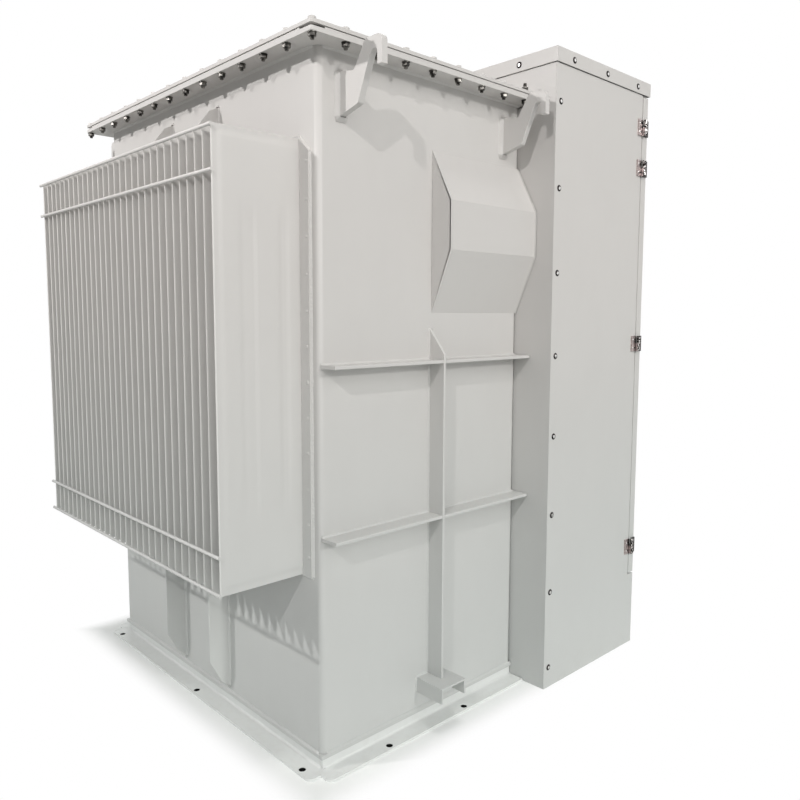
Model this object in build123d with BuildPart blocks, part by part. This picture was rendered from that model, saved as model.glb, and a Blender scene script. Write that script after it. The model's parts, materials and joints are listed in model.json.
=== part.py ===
from build123d import *
import os

os.makedirs("parts", exist_ok=True)

# Millimetres. Origin: middle of the overall footprint, at floor level. +Z is up.
# -X is the radiator side, +X the terminal cabinet side, -Y the side with the cable hood.

# Tank
tank_length = 880.0  # along X
tank_width = 1360.0  # along Y
wall = 8.0
corner_radius = 16.0
bottom_z = 38.0  # underside of the bottom plate
bottom_thick = 12.0
bottom_ledge = 6.0  # how far the bottom plate stands out past the wall
flange_z = 2070.0  # underside of the top flange
flange_thick = 12.0
flange_overhang = 74.0
flange_inset = 40.0  # flange inner edge, inside the wall's outer face
gasket_thick = 8.0
gasket_setback = 12.0  # gasket edge behind the flange edge, seen as the dark line
gasket_width = 50.0
cover_thick = 10.0
plate_corner = 8.0

# Radiator
fin_pitch = 43.5
fin_thick = 8.0
fin_seam_thick = 3.0  # the pinched outer, top and bottom edges
fin_seam_width = 12.0
fin_shoulder = 20.0  # from the seam to the full thickness
fin_first = 80.0  # first fin's middle, from the tank's -Y face
fin_far_room = 18.0  # least distance from the last fin's middle to the tank's +Y face
fin_bottom = 583.0
fin_below_flange = 237.0
fin_reach = 280.0  # from the tank wall to the fins' outer edges
back_plate_thick = 8.0
back_plate_drop = 3.0  # below the fins
back_plate_rise = 8.0  # above the fins
back_plate_near = 46.0  # from the first fin's middle to the plate's edge
back_plate_far = 10.5
back_plate_chamfer = 45.0
rod_diameter = 10.0
rod_overrun = 12.5  # past the end fins' middles
rod_from_end = 6.0
rod_spacing_upper = 113.0
rod_spacing_lower = 105.0

# Cabinet
cabinet_depth = 604.0
cabinet_wing = 154.0  # how far it stands out past the tank on each side
cabinet_rise = 133.0  # carcass top above the tank's cover
sheet = 3.0
hat_overhang = 6.0
hat_skirt = 46.0
sill_height = 292.0
door_gap = 5.0
door_edge = 35.5  # depth of the door's turned-in edge
door_meeting_gap = 6.0
door_clearance = 6.0  # to the sill below and the lintel above
flange_slot = 6.0  # room round the tank's top flange where it passes the cabinet's back
back_lap = 40.0  # how far the cabinet's back laps onto the tank's end wall
back_return = 50.0
frame_return = 30.0

# Hinges
hinge_height = 60.0
hinge_leaf_width = 27.0
hinge_leaf_thick = 6.0
hinge_first = 117.0  # top hinge's middle, below the top of the door
hinge_pair = 152.0  # from the top hinge to its neighbour
hinge_last = 115.0  # bottom hinge's middle, above the door's lower edge
hinge_third_drop = 3.5  # third hinge, below the middle of the top and bottom ones
knuckle_radius = 6.5
pin_radius = 2.5
pin_clearance = 0.2
knuckle_gap = 0.5
pin_stand_off = 14.0  # pin line outside the cabinet's side face

# Where the main faces lie
radiator_reach = fin_reach + rod_diameter
x_min = -(radiator_reach + tank_length + cabinet_depth + hat_overhang) / 2
tank_x0 = x_min + radiator_reach
tank_x1 = tank_x0 + tank_length
tank_mid = (tank_x0 + tank_x1) / 2
tank_half = tank_width / 2
front_x = tank_x1 + cabinet_depth
cabinet_half = tank_half + cabinet_wing
inner_half = cabinet_half - sheet
flange_length = tank_length + 2 * flange_overhang
flange_width = tank_width + 2 * flange_overhang
flange_top = flange_z + flange_thick
cover_low = flange_top + gasket_thick
cover_high = cover_low + cover_thick
cabinet_top = cover_high + cabinet_rise
hat_low = cabinet_top - hat_skirt
door_high = hat_low - door_clearance
door_low = sill_height + door_clearance
panel_edge = front_x - door_edge - door_gap
pin_x = panel_edge + door_gap / 2
pin_y = cabinet_half + pin_stand_off
hinge_top = door_high - hinge_first
hinge_bottom = door_low + hinge_last
hinge_third = (hinge_top + hinge_bottom) / 2 - hinge_third_drop
hinge_levels = [hinge_top, hinge_top - hinge_pair, hinge_third, hinge_bottom]

# Fin positions and heights
fin_count = int((tank_width - fin_first - fin_far_room) // fin_pitch) + 1
fin_ys = [fin_first - tank_half + i * fin_pitch for i in range(fin_count)]
fin_top = flange_z - fin_below_flange
back_plate_low = fin_bottom - back_plate_drop
back_plate_high = fin_top + back_plate_rise
rod_levels = {
    "upper_outer": fin_top - rod_from_end,
    "upper_inner": fin_top - rod_from_end - rod_spacing_upper,
    "lower_inner": fin_bottom + rod_from_end + rod_spacing_lower,
    "lower_outer": fin_bottom + rod_from_end,
}

# Stiffeners and jacking pads on the two long tank faces
bar_reach = 66.0
bar_thick = 10.0
bar_end_gap = 4.0
bar_upper = 1204.0  # top faces
bar_lower = 706.0
post_offset = 443.0  # post middle, from the radiator end of the tank
post_above_bar = 100.0
post_nose = 18.0  # height of the post's outer edge above the upper bar
pad_width = 112.0
pad_reach = 117.0
pad_top = 160.0
pad_height = 50.0
pad_sheet = 6.0
post_x = tank_x0 + post_offset
bar_levels = {"upper": bar_upper, "lower": bar_lower}

# Ribs on the radiator wall, above and below the radiator
rib_reach = 76.0
rib_thick = 8.0
rib_offset = 156.0
rib_above_bottom = 19.0
rib_below_flange = 65.0
rib_root = 34.0  # reach at the narrow end, where the cut changes slope
rib_lower_cuts = (28.0, 106.0)  # from the free end to where the slope changes and to the edge
rib_upper_cuts = (15.0, 68.0)

# Lifting hooks: a plate welded upright to the wall, its arm rising clear of the flange
# to a crook that opens downward behind a finger
hook_thick = 20.0
hook_inset = 80.0  # hook middle from the tank's end, radiator side
hook_inset_cabinet = 90.0
hook_rise = 1.0  # top above the flange's underside
hook_weld = 123.0  # height of the welded root
hook_shoulder_drop = 58.0  # top of the root, below the hook's top
hook_reach = 184.0
hook_shoulder = 71.0  # where the upper edge turns up
hook_crown = 117.0  # where it reaches the top
hook_knee = 87.0  # where the lower edge turns up
hook_knee_rise = 22.0
finger_width = 18.0
finger_drop = 76.0
crook_width = 25.0
crook_drop = 34.0  # top of the crook, below the hook's top
crook_round = 11.0
hook_round = 20.0

# Feet
foot_reach = 62.0
foot_thick = 8.0
foot_end = 20.0  # how far a foot's end runs past the tank corner
foot_corner = 20.0
foot_mitre_gap = 1.0
foot_hole = 22.0
foot_hole_line = 44.0  # hole middles, outside the tank face
foot_hole_end = 40.0  # end holes under the radiator wall, from the tank's corners
long_hole_first = 228.0
long_hole_pitch = 346.0

# Cable hood
hood_offset = 447.0  # from the radiator end of the tank
hood_end_gap = 2.0
hood_reach = 81.0  # out from the tank wall
hood_below_flange = 214.0
hood_slope_high = 158.0  # height of the upper slope
hood_front = 151.0  # height of the upright front
hood_slope_low = 195.0  # height of the lower slope
hood_start = tank_x0 + hood_offset
hood_end = tank_x1 - hood_end_gap


def face_plane(side, x):
    # Across a long tank face: local x runs outward, local y runs up
    return Plane(origin=(x, side * tank_half, 0), x_dir=(0, side, 0), z_dir=(side, 0, 0))


with BuildPart() as tank_wall:
    with BuildSketch(Plane.XY.offset(bottom_z + bottom_thick)):
        with Locations((tank_mid, 0)):
            RectangleRounded(tank_length, tank_width, corner_radius)
            RectangleRounded(
                tank_length - 2 * wall, tank_width - 2 * wall, corner_radius - wall, mode=Mode.SUBTRACT
            )
    extrude(amount=flange_z - bottom_z - bottom_thick)
tank_wall.part.label = "tank_wall"
export_step(tank_wall.part, "parts/tank_wall.step")

with BuildPart() as tank_bottom:
    with BuildSketch(Plane.XY.offset(bottom_z)):
        with Locations((tank_mid - bottom_ledge / 2, 0)):
            Rectangle(tank_length + bottom_ledge, tank_width + 2 * bottom_ledge)
    extrude(amount=bottom_thick)
tank_bottom.part.label = "tank_bottom"
export_step(tank_bottom.part, "parts/tank_bottom.step")

with BuildPart() as tank_flange:
    with BuildSketch(Plane.XY.offset(flange_z)):
        with Locations((tank_mid, 0)):
            RectangleRounded(flange_length, flange_width, plate_corner)
            Rectangle(tank_length - 2 * flange_inset, tank_width - 2 * flange_inset, mode=Mode.SUBTRACT)
    extrude(amount=flange_thick)
tank_flange.part.label = "tank_flange"
export_step(tank_flange.part, "parts/tank_flange.step")

with BuildPart() as cover_gasket:
    gasket_length = flange_length - 2 * gasket_setback
    gasket_breadth = flange_width - 2 * gasket_setback
    with BuildSketch(Plane.XY.offset(flange_top)):
        with Locations((tank_mid, 0)):
            RectangleRounded(gasket_length, gasket_breadth, plate_corner)
            Rectangle(
                gasket_length - 2 * gasket_width, gasket_breadth - 2 * gasket_width, mode=Mode.SUBTRACT
            )
    extrude(amount=gasket_thick)
cover_gasket.part.label = "cover_gasket"
export_step(cover_gasket.part, "parts/cover_gasket.step")

with BuildPart() as cover_plate:
    with BuildSketch(Plane.XY.offset(cover_low)):
        with Locations((tank_mid, 0)):
            RectangleRounded(flange_length, flange_width, plate_corner)
    extrude(amount=cover_thick)
cover_plate.part.label = "cover_plate"
export_step(cover_plate.part, "parts/cover_plate.step")


def lifting_hook(name, side, x):
    top = flange_z + hook_rise
    shoulder = top - hook_shoulder_drop
    low = shoulder - hook_weld
    finger = hook_reach - finger_width
    crook = top - crook_drop
    corners = [
        ((0, low), 0),
        ((hook_knee, low + hook_knee_rise), hook_round / 2),
        ((finger - crook_width, crook), crook_round),
        ((finger, crook), crook_round),
        ((finger, top - finger_drop), 0),
        ((hook_reach, top - finger_drop), 0),
        ((hook_reach, top), hook_round - 2),
        ((hook_crown, top), hook_round),
        ((hook_shoulder, shoulder - hook_shoulder / 6), hook_round / 2),
        ((0, shoulder), 0),
    ]
    with BuildPart() as hook:
        with BuildSketch(face_plane(side, x)):
            Polygon(*[point for point, radius in corners], align=None)
            for point, radius in corners:
                if radius:
                    fillet(vertices().sort_by_distance(point)[0], radius=radius)
        extrude(amount=hook_thick / 2, both=True)
    hook.part.label = name
    export_step(hook.part, f"parts/{name}.step")


def long_bar(name, side, top):
    # Flat bar along a long tank face, slotted from its outer edge where the post crosses
    with BuildPart() as bar:
        with BuildSketch(Plane.XY.offset(top - bar_thick)):
            bar_start = tank_x0 + bar_end_gap
            bar_end = tank_x1 - bar_end_gap / 2
            with Locations(((bar_start + bar_end) / 2, side * (tank_half + bar_reach / 2))):
                Rectangle(bar_end - bar_start, bar_reach)
            with Locations((post_x, side * (tank_half + bar_reach * 0.75))):
                Rectangle(bar_thick, bar_reach / 2, mode=Mode.SUBTRACT)
        extrude(amount=bar_thick)
    bar.part.label = name
    export_step(bar.part, f"parts/{name}.step")


def post(name, side):
    # Upright bar on the jacking pad, slotted from the wall side where the long bars cross
    outline = [
        (0, pad_top),
        (bar_reach, pad_top),
        (bar_reach, bar_upper + post_nose),
        (0, bar_upper + post_above_bar),
    ]
    with BuildPart() as upright:
        with BuildSketch(face_plane(side, post_x)):
            Polygon(*outline, align=None)
            for top in bar_levels.values():
                with Locations((bar_reach / 4, top - bar_thick / 2)):
                    Rectangle(bar_reach / 2, bar_thick, mode=Mode.SUBTRACT)
        extrude(amount=bar_thick / 2, both=True)
    upright.part.label = name
    export_step(upright.part, f"parts/{name}.step")


def jacking_pad(name, side):
    # Bent plate open below and at its outer end
    with BuildPart() as pad:
        with BuildSketch(Plane.XZ.offset(-side * tank_half)):
            with Locations((post_x, pad_top - pad_height / 2)):
                Rectangle(pad_width, pad_height)
            with Locations((post_x, pad_top - pad_sheet - pad_height / 2)):
                Rectangle(pad_width - 2 * pad_sheet, pad_height, mode=Mode.SUBTRACT)
        extrude(amount=-side * pad_reach)
    pad.part.label = name
    export_step(pad.part, f"parts/{name}.step")


def long_foot(name, side):
    # Bent plate under a long tank face, mitred where it meets the end foot
    with BuildPart() as foot:
        with BuildSketch(Plane.XY):
            y = side * tank_half
            foot_start = tank_x0 - foot_end + foot_mitre_gap
            leg_start = tank_x0 + foot_thick + foot_mitre_gap
            foot_stop = tank_x1 - bar_end_gap / 2
            with BuildLine():
                Polyline(
                    (leg_start, y - side * foot_thick),
                    (foot_start, y + side * foot_end),
                    (foot_start, y + side * foot_reach),
                    (foot_stop, y + side * foot_reach),
                    (foot_stop, y - side * foot_thick),
                    close=True,
                )
            make_face()
            outer = vertices().sort_by_distance((foot_start, y + side * foot_reach))[0]
            fillet(outer, radius=foot_corner)
            first_hole = tank_x0 + long_hole_first
            for x in (first_hole, first_hole + long_hole_pitch):
                with Locations((x, y + side * foot_hole_line)):
                    Circle(foot_hole / 2, mode=Mode.SUBTRACT)
        extrude(amount=foot_thick)
        with BuildSketch(Plane.XY.offset(foot_thick)):
            with Locations(((leg_start + foot_stop) / 2, y - side * foot_thick / 2)):
                Rectangle(foot_stop - leg_start, foot_thick)
        extrude(amount=bottom_z - foot_thick)
        bend = [
            e
            for e in edges().filter_by(Axis.X)
            if abs(e.center().Y - y) < 0.1 and abs(e.center().Z - foot_thick) < 0.1
        ]
        fillet(bend, radius=foot_thick)
    foot.part.label = name
    export_step(foot.part, f"parts/{name}.step")


def rib(name, y, square_end, free_end, root_cut, edge_cut):
    # Flat bar on the radiator wall, cut back in two slopes at its free end
    step = 1 if square_end > free_end else -1
    outline = [
        (0, square_end),
        (rib_reach, square_end),
        (rib_reach, free_end + step * edge_cut),
        (rib_root, free_end + step * root_cut),
        (0, free_end),
    ]
    with BuildPart() as flat:
        with BuildSketch(Plane(origin=(tank_x0, y, 0), x_dir=(-1, 0, 0), z_dir=(0, 1, 0))):
            Polygon(*outline, align=None)
        extrude(amount=rib_thick / 2, both=True)
    flat.part.label = name
    export_step(flat.part, f"parts/{name}.step")


for side, word in ((-1, "front"), (1, "rear")):
    lifting_hook(f"hook_{word}_radiator_end", side, tank_x0 + hook_inset)
    lifting_hook(f"hook_{word}_cabinet_end", side, tank_x1 - hook_inset_cabinet)
    for level, top in bar_levels.items():
        long_bar(f"stiffener_{word}_{level}", side, top)
    post(f"stiffener_{word}_post", side)
    jacking_pad(f"jacking_pad_{word}", side)
    long_foot(f"foot_{word}", side)
    rib_low = bottom_z + bottom_thick + rib_above_bottom
    rib_high = flange_z - rib_below_flange
    rib(f"rib_{word}_lower", side * rib_offset, back_plate_low, rib_low, *rib_lower_cuts)
    rib(f"rib_{word}_upper", side * rib_offset, back_plate_high, rib_high, *rib_upper_cuts)

with BuildPart() as foot_end_piece:
    with BuildSketch(Plane.XY):
        far = tank_half + foot_end - foot_mitre_gap
        leg_half = tank_half - foot_thick - foot_mitre_gap
        with BuildLine():
            Polyline(
                (tank_x0 + foot_thick, leg_half),
                (tank_x0 - foot_end, far),
                (tank_x0 - foot_reach, far),
                (tank_x0 - foot_reach, -far),
                (tank_x0 - foot_end, -far),
                (tank_x0 + foot_thick, -leg_half),
                close=True,
            )
        make_face()
        fillet([v for v in vertices() if abs(v.X - (tank_x0 - foot_reach)) < 0.1], radius=foot_corner)
        for y in (foot_hole_end - tank_half, 0, tank_half - foot_hole_end):
            with Locations((tank_x0 - foot_hole_line, y)):
                Circle(foot_hole / 2, mode=Mode.SUBTRACT)
    extrude(amount=foot_thick)
    with BuildSketch(Plane.XY.offset(foot_thick)):
        with Locations((tank_x0 + foot_thick / 2, 0)):
            Rectangle(foot_thick, 2 * leg_half)
    extrude(amount=bottom_z - foot_thick)
    bend = [
        e
        for e in edges().filter_by(Axis.Y)
        if abs(e.center().X - tank_x0) < 0.1 and abs(e.center().Z - foot_thick) < 0.1
    ]
    fillet(bend, radius=foot_thick)
foot_end_piece.part.label = "foot_radiator_end"
export_step(foot_end_piece.part, "parts/foot_radiator_end.step")

hood_high = flange_z - hood_below_flange
front_high = hood_high - hood_slope_high
front_low = front_high - hood_front
hood_outline = [
    (0, hood_high),
    (hood_reach, front_high),
    (hood_reach, front_low),
    (0, front_low - hood_slope_low),
]

with BuildPart() as cable_hood:
    with BuildSketch(face_plane(-1, hood_start)):
        Polygon(*hood_outline, align=None)
    extrude(amount=hood_start - hood_end)
    for shift in (0.0, -2 * sheet):
        with BuildSketch(face_plane(-1, hood_start + sheet)):
            with Locations((shift, 0)):
                Polygon(*hood_outline, align=None)
            offset(amount=-sheet, mode=Mode.REPLACE)
        extrude(amount=hood_start - hood_end + 2 * sheet, mode=Mode.SUBTRACT)
cable_hood.part.label = "cable_hood"
export_step(cable_hood.part, "parts/cable_hood.step")

# Radiator fin: two pressed skins, pinched to a thin seam along the outer, top and bottom edges
with BuildPart() as fin:
    fin_start = tank_x0 - back_plate_thick / 2
    fin_stop = tank_x0 - fin_reach
    half = fin_thick / 2
    seam = fin_seam_thick / 2
    full = fin_seam_width + fin_shoulder
    with BuildSketch(Plane.XY.offset(fin_bottom)):
        with BuildLine():
            Polyline(
                (fin_start, 0),
                (fin_start, half),
                (fin_stop + full, half),
                (fin_stop + fin_seam_width, seam),
                (fin_stop, seam),
                (fin_stop, 0),
                close=True,
            )
        make_face()
        mirror(about=Plane.XZ)
    extrude(amount=fin_top - fin_bottom)
    with BuildSketch(Plane.YZ.offset(fin_stop)):
        with BuildLine():
            Polyline(
                (0, fin_bottom),
                (seam, fin_bottom),
                (seam, fin_bottom + fin_seam_width),
                (half, fin_bottom + full),
                (half, fin_top - full),
                (seam, fin_top - fin_seam_width),
                (seam, fin_top),
                (0, fin_top),
                close=True,
            )
        make_face()
        mirror(about=Plane.YZ)
    extrude(amount=fin_start - fin_stop, mode=Mode.INTERSECT)

# Radiator: back plate with the row of fins welded to it
with BuildPart() as radiator_fins:
    with BuildSketch(Plane(origin=(tank_x0, 0, 0), x_dir=(0, -1, 0), z_dir=(-1, 0, 0))):
        near = -fin_ys[0] + back_plate_near
        far = -fin_ys[-1] - back_plate_far
        with BuildLine():
            Polyline(
                (near, back_plate_low),
                (far, back_plate_low),
                (far, back_plate_high),
                (near - back_plate_chamfer, back_plate_high),
                (near, back_plate_high - back_plate_chamfer),
                close=True,
            )
        make_face()
    extrude(amount=back_plate_thick)
    with Locations(*[(0, y, 0) for y in fin_ys]):
        add(fin.part)
radiator_fins.part.label = "radiator_fins"
export_step(radiator_fins.part, "parts/radiator_fins.step")

for level, z in rod_levels.items():
    with BuildPart() as rod:
        rod_x = tank_x0 - fin_reach - rod_diameter / 2
        rod_start = fin_ys[0] - rod_overrun
        with BuildSketch(Plane(origin=(rod_x, rod_start, z), x_dir=(1, 0, 0), z_dir=(0, 1, 0))):
            Circle(rod_diameter / 2)
        extrude(amount=fin_ys[-1] + rod_overrun - rod_start)
    rod.part.label = f"radiator_rod_{level}"
    export_step(rod.part, f"parts/radiator_rod_{level}.step")

# Cabinet carcass
with BuildPart() as cabinet_back:
    with BuildSketch(Plane.YZ.offset(tank_x1)):
        with Locations((0, cabinet_top / 2)):
            Rectangle(2 * inner_half, cabinet_top)
        with Locations((0, flange_z / 2)):
            Rectangle(tank_width - 2 * back_lap, flange_z, mode=Mode.SUBTRACT)
        with Locations((0, (flange_z + cover_high) / 2)):
            Rectangle(
                flange_width + 2 * flange_slot, cover_high - flange_z + 2 * flange_slot, mode=Mode.SUBTRACT
            )
    extrude(amount=sheet)
    with BuildSketch(Plane.XY):
        for side in (-1, 1):
            with Locations((tank_x1 + back_return / 2, side * (inner_half - sheet / 2))):
                Rectangle(back_return, sheet)
    extrude(amount=cabinet_top)
cabinet_back.part.label = "cabinet_back"
export_step(cabinet_back.part, "parts/cabinet_back.step")


def side_panel(name, side):
    outline = [
        (tank_x1, 0),
        (front_x, 0),
        (front_x, sill_height),
        (panel_edge, sill_height),
        (panel_edge, cabinet_top),
        (tank_x1, cabinet_top),
    ]
    with BuildPart() as panel:
        with BuildSketch(Plane.XZ.offset(-side * cabinet_half)):
            Polygon(*outline, align=None)
        extrude(amount=side * sheet)
    panel.part.label = name
    export_step(panel.part, f"parts/{name}.step")


side_panel("cabinet_side_front", -1)
side_panel("cabinet_side_rear", 1)

with BuildPart() as door_frame:
    rail_depth = front_x - panel_edge + sheet
    rail_mid = front_x - rail_depth / 2
    for low, high, shelf in (
        (0.0, sill_height, sill_height - sheet),
        (hat_low, cabinet_top, hat_low),
    ):
        with BuildSketch(Plane.XY.offset(low)):
            with Locations((front_x - sheet / 2, 0)):
                Rectangle(sheet, 2 * inner_half)
        extrude(amount=high - low)
        with BuildSketch(Plane.XY.offset(shelf)):
            with Locations((rail_mid, 0)):
                Rectangle(rail_depth, 2 * inner_half)
        extrude(amount=sheet)
    with BuildSketch(Plane.XY):
        for side in (-1, 1):
            with Locations((panel_edge - sheet / 2, side * (inner_half - frame_return / 2))):
                Rectangle(sheet, frame_return)
            with Locations((panel_edge - frame_return / 2, side * (inner_half - sheet / 2))):
                Rectangle(frame_return, sheet)
    extrude(amount=cabinet_top)
door_frame.part.label = "cabinet_door_frame"
export_step(door_frame.part, "parts/cabinet_door_frame.step")

with BuildPart() as cabinet_hat:
    hat_x0 = tank_x1 - hat_overhang
    hat_x1 = front_x + hat_overhang
    hat_mid = (hat_x0 + hat_x1) / 2
    hat_half = cabinet_half + hat_overhang
    with BuildSketch(Plane.XY.offset(hat_low)):
        with Locations((hat_mid, 0)):
            Rectangle(hat_x1 - hat_x0, 2 * hat_half)
    extrude(amount=cabinet_top + sheet - hat_low)
    with BuildSketch(Plane.XY.offset(hat_low)):
        with Locations((hat_mid, 0)):
            Rectangle(hat_x1 - hat_x0 - 2 * sheet, 2 * (hat_half - sheet))
    extrude(amount=cabinet_top - hat_low, mode=Mode.SUBTRACT)
cabinet_hat.part.label = "cabinet_hat"
export_step(cabinet_hat.part, "parts/cabinet_hat.step")


def hinge_half(side, z, leaf_from, leaf_to, fixed):
    # Leaf on the sheet, arm to the pin line, and its share of the knuckle, with the pin or its bore
    arm_from = min((leaf_from, leaf_to), key=lambda x: abs(x - pin_x))
    arm_low = cabinet_half + hinge_leaf_thick - 2
    knuckle_low = z - hinge_height / 2 if fixed else z + knuckle_gap / 2
    knuckle_height = (hinge_height - knuckle_gap) / 2
    with BuildPart() as half:
        with BuildSketch(Plane.XY.offset(z - hinge_height / 2)):
            with Locations(((leaf_from + leaf_to) / 2, side * (cabinet_half + hinge_leaf_thick / 2))):
                Rectangle(abs(leaf_to - leaf_from), hinge_leaf_thick)
        extrude(amount=hinge_height)
        with BuildSketch(Plane.XY.offset(knuckle_low)):
            with Locations(((arm_from + pin_x) / 2, side * (arm_low + pin_y) / 2)):
                Rectangle(abs(arm_from - pin_x) + 2, pin_y - arm_low)
            with Locations((pin_x, side * pin_y)):
                Circle(knuckle_radius)
                if not fixed:
                    Circle(pin_radius + pin_clearance, mode=Mode.SUBTRACT)
        extrude(amount=knuckle_height)
        if fixed:
            with BuildSketch(Plane.XY.offset(z - hinge_height / 2)):
                with Locations((pin_x, side * pin_y)):
                    Circle(pin_radius)
            extrude(amount=hinge_height)
    return half


def fixed_hinge(name, side, z):
    leaf_to = panel_edge - door_gap
    half = hinge_half(side, z, leaf_to - hinge_leaf_width, leaf_to, True)
    half.part.label = name
    export_step(half.part, f"parts/{name}.step")


def door_leaf(name, side):
    # Sheet leaf with edges turned in all round, and the swinging halves of its hinges
    inner = door_meeting_gap / 2
    mid = side * (cabinet_half + inner) / 2
    width = cabinet_half - inner
    leaf_from = pin_x + knuckle_radius + 1.5
    halves = [hinge_half(side, z, leaf_from, leaf_from + hinge_leaf_width, False) for z in hinge_levels]
    with BuildPart() as leaf:
        with BuildSketch(Plane.XY.offset(door_low)):
            with Locations((front_x - door_edge / 2, mid)):
                Rectangle(door_edge, width)
        extrude(amount=door_high - door_low)
        with BuildSketch(Plane.XY.offset(door_low + sheet)):
            with Locations((front_x - sheet - door_edge / 2, mid)):
                Rectangle(door_edge, width - 2 * sheet)
        extrude(amount=door_high - door_low - 2 * sheet, mode=Mode.SUBTRACT)
        for half in halves:
            add(half.part)
    leaf.part.label = name
    export_step(leaf.part, f"parts/{name}.step")


for side, word in ((-1, "front"), (1, "rear")):
    door_leaf(f"door_{word}", side)
    for number, z in enumerate(hinge_levels, 1):
        fixed_hinge(f"hinge_{word}_{number}", side, z)
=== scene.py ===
import json
import math
import random

import bmesh
import bpy
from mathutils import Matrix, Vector


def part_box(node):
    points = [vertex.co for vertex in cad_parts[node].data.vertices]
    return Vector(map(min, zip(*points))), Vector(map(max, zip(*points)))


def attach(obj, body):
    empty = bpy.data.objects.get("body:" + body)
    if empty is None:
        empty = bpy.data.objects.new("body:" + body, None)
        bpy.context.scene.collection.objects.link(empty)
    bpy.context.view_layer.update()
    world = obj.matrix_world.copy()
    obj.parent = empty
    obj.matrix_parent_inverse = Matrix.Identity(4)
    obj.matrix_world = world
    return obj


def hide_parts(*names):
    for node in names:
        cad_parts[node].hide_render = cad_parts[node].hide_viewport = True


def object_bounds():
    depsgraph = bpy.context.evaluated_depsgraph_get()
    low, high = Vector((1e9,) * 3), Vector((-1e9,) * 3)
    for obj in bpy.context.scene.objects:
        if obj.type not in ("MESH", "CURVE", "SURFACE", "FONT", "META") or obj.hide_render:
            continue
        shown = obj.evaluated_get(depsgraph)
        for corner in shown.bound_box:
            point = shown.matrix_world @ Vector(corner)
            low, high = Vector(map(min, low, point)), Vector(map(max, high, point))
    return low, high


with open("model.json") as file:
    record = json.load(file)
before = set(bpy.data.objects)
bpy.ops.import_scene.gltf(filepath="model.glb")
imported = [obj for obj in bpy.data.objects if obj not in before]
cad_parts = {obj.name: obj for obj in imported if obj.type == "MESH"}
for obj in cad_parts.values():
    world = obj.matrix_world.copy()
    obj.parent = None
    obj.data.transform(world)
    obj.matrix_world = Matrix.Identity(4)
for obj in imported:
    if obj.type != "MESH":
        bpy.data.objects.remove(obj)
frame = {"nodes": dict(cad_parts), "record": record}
cadLow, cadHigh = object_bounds()
nodes = frame["nodes"]
mainBody = "transformer"
words = {-1: "front", 1: "rear"}  # the hood is on the front, -Y
seeded = random.Random(11)
print("frame:", len(nodes), "nodes")


# A socket of a node tree, so that a finish is written as sums
class Wire:
    def __init__(self, look, socket):
        self.look = look
        self.socket = socket

    def __add__(self, other):
        return self.look.maths("ADD", self, other)

    def __sub__(self, other):
        return self.look.maths("SUBTRACT", self, other)

    def __rsub__(self, other):
        return self.look.maths("SUBTRACT", other, self)

    def __mul__(self, other):
        return self.look.maths("MULTIPLY", self, other)

    def __gt__(self, other):
        return self.look.maths("GREATER_THAN", self, other)

    def __lt__(self, other):
        return self.look.maths("LESS_THAN", self, other)

    __radd__ = __add__
    __rmul__ = __mul__


# A node tree and the one way in which nodes are added to it
class Look:
    def __init__(self, owner):
        owner.use_nodes = True
        self.owner = owner
        self.tree = owner.node_tree

    def put(self, socket, value):
        if isinstance(value, Wire):
            self.tree.links.new(value.socket, socket)
        else:
            socket.default_value = value

    def add(self, kind, settings=None, sockets=None, output=0):
        node = self.tree.nodes.new(kind)
        for name, value in (settings or {}).items():
            setattr(node, name, value)
        for name, value in (sockets or {}).items():
            self.put(node.inputs[name], value)
        return Wire(self, node.outputs[output])

    def maths(self, operation, one, two):
        return self.add("ShaderNodeMath", {"operation": operation}, {0: one, 1: two})

    def noise(self, place, scale, detail=2.0):
        sockets = {"Vector": place, "Scale": scale, "Detail": detail}
        return self.add("ShaderNodeTexNoise", None, sockets)

    def mix(self, share, one, two, blend="MIX"):
        settings = {"data_type": "RGBA", "blend_type": blend}
        return self.add("ShaderNodeMix", settings, {0: share, 6: one, 7: two}, 2)

    def span(self, value, low, high):  # 0 at low, 1 at high, smooth between
        sockets = {"Value": value, "From Min": low, "From Max": high}
        return self.add("ShaderNodeMapRange", {"interpolation_type": "SMOOTHSTEP"}, sockets)

    def along(self, axis):  # the place along one axis
        return self.add("ShaderNodeSeparateXYZ", None, {0: self.place}, axis)

    def feed(self, name, value):
        self.put(self.shader.inputs[name], value)

    def feedBump(self, height, distance):
        sockets = {"Distance": distance, "Height": height}
        self.feed("Normal", self.add("ShaderNodeBump", None, sockets))


def newFinish(name, **fixed):
    look = Look(bpy.data.materials.new(name))
    look.shader = look.tree.nodes["Principled BSDF"]
    for socket, value in fixed.items():
        look.shader.inputs[socket.replace("_", " ")].default_value = value
    look.place = look.add("ShaderNodeTexCoord", output="Object")  # in the frame, in metres
    return look


def tint(colour, share=1.0):
    return (*[c * share for c in colour], 1.0)


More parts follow.
